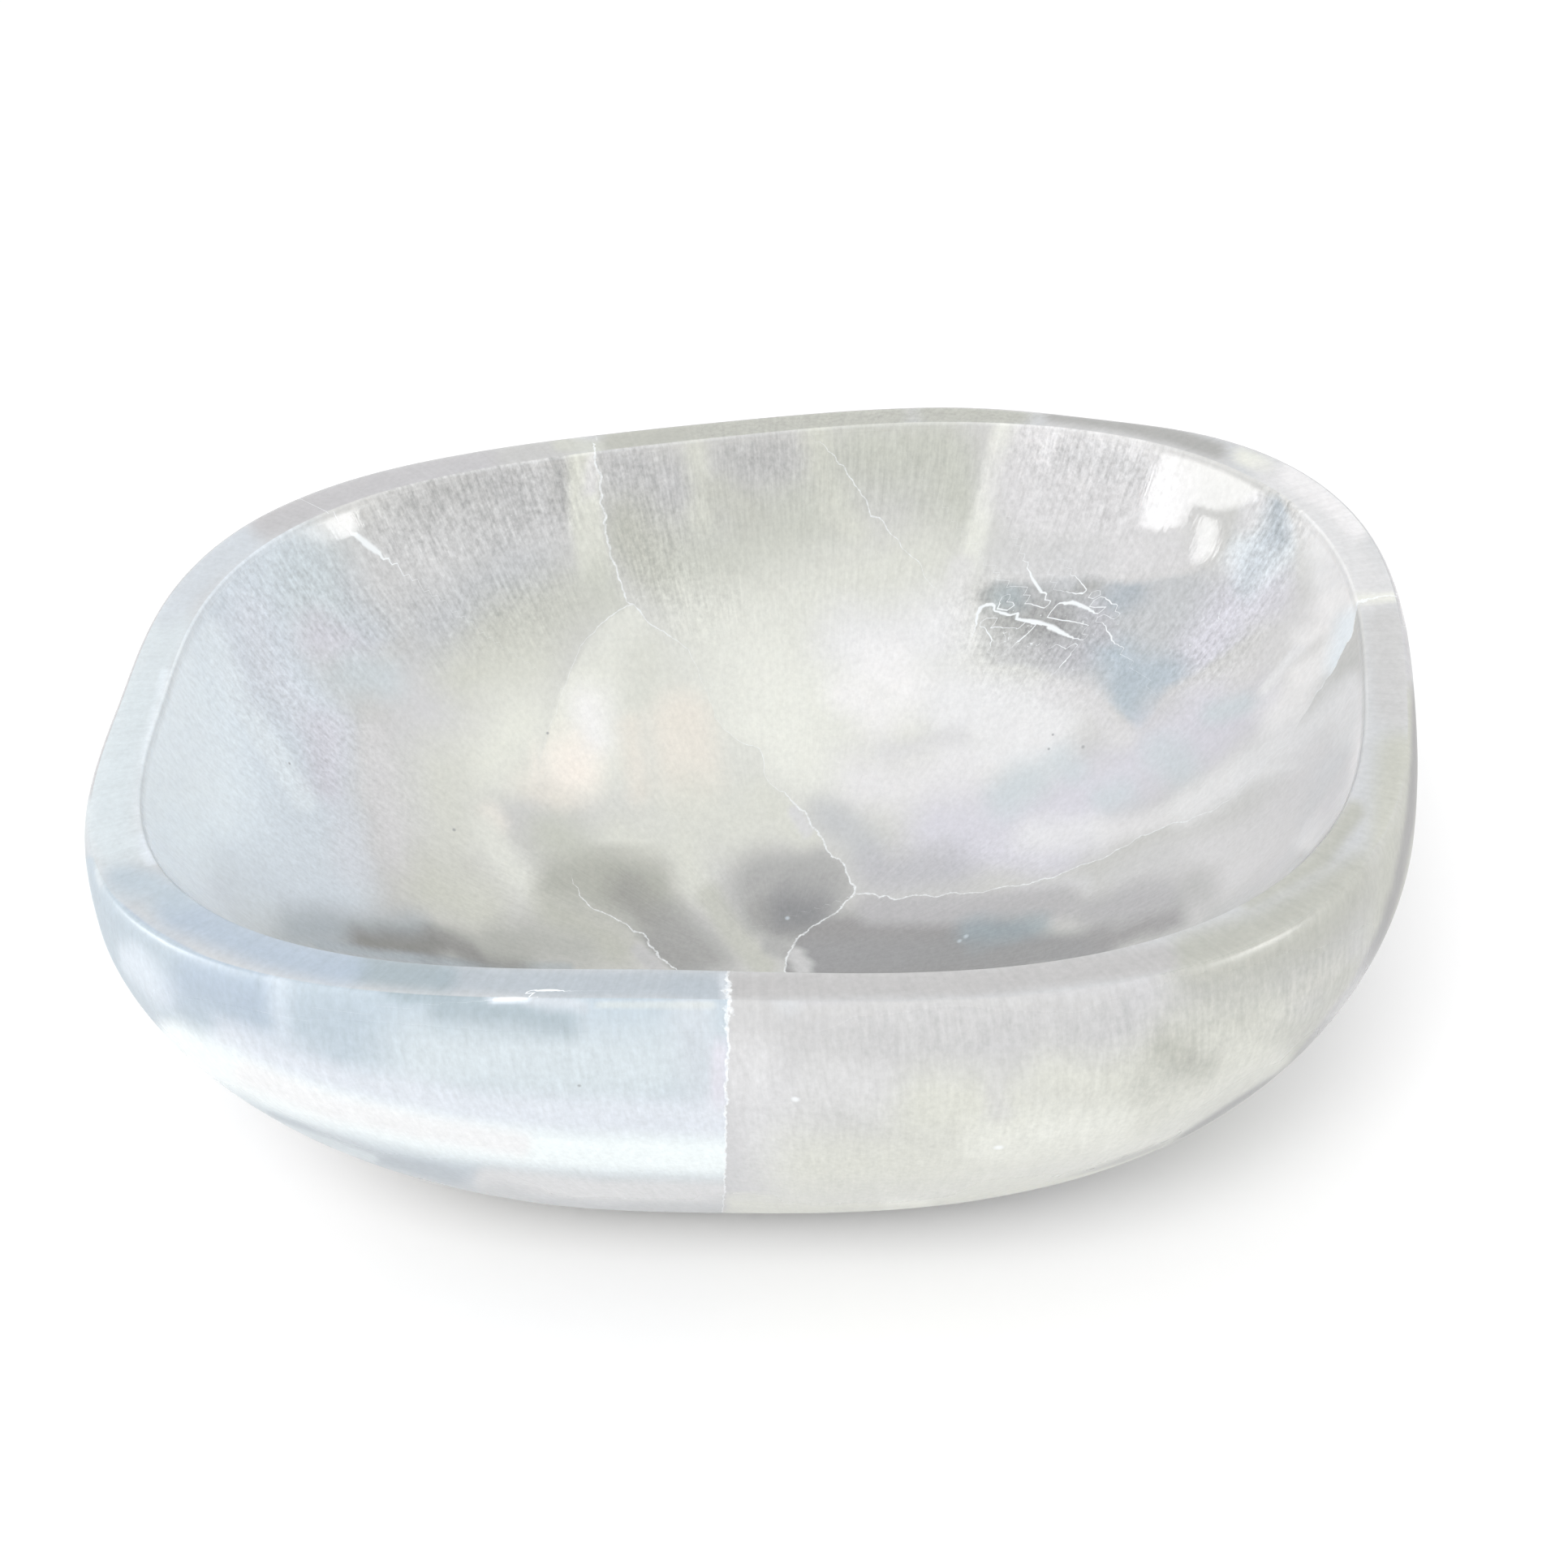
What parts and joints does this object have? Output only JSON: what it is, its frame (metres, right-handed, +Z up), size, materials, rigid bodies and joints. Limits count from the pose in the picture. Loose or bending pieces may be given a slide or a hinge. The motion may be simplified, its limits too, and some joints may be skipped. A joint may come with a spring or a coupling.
{
  "type": "selenite bowl",
  "caption": "Open bowl carved from one block of translucent fibrous gypsum, with a rounded rectangular plan, a flat rim and a flat foot, for holding small things.",
  "frame": {"origin": "on the ground under the middle of the bowl's box, where its flat foot rests", "axes": "+X along the bowl's length towards its broader end, +Y towards its back, +Z up out of the hollow"},
  "size_m": [0.1642, 0.1288, 0.0616],
  "materials": {
    "selenite": "polished, translucent, silky fibres"
  },
  "bodies": {
    "root": {"bowl": "selenite"}
  },
  "joints": []
}
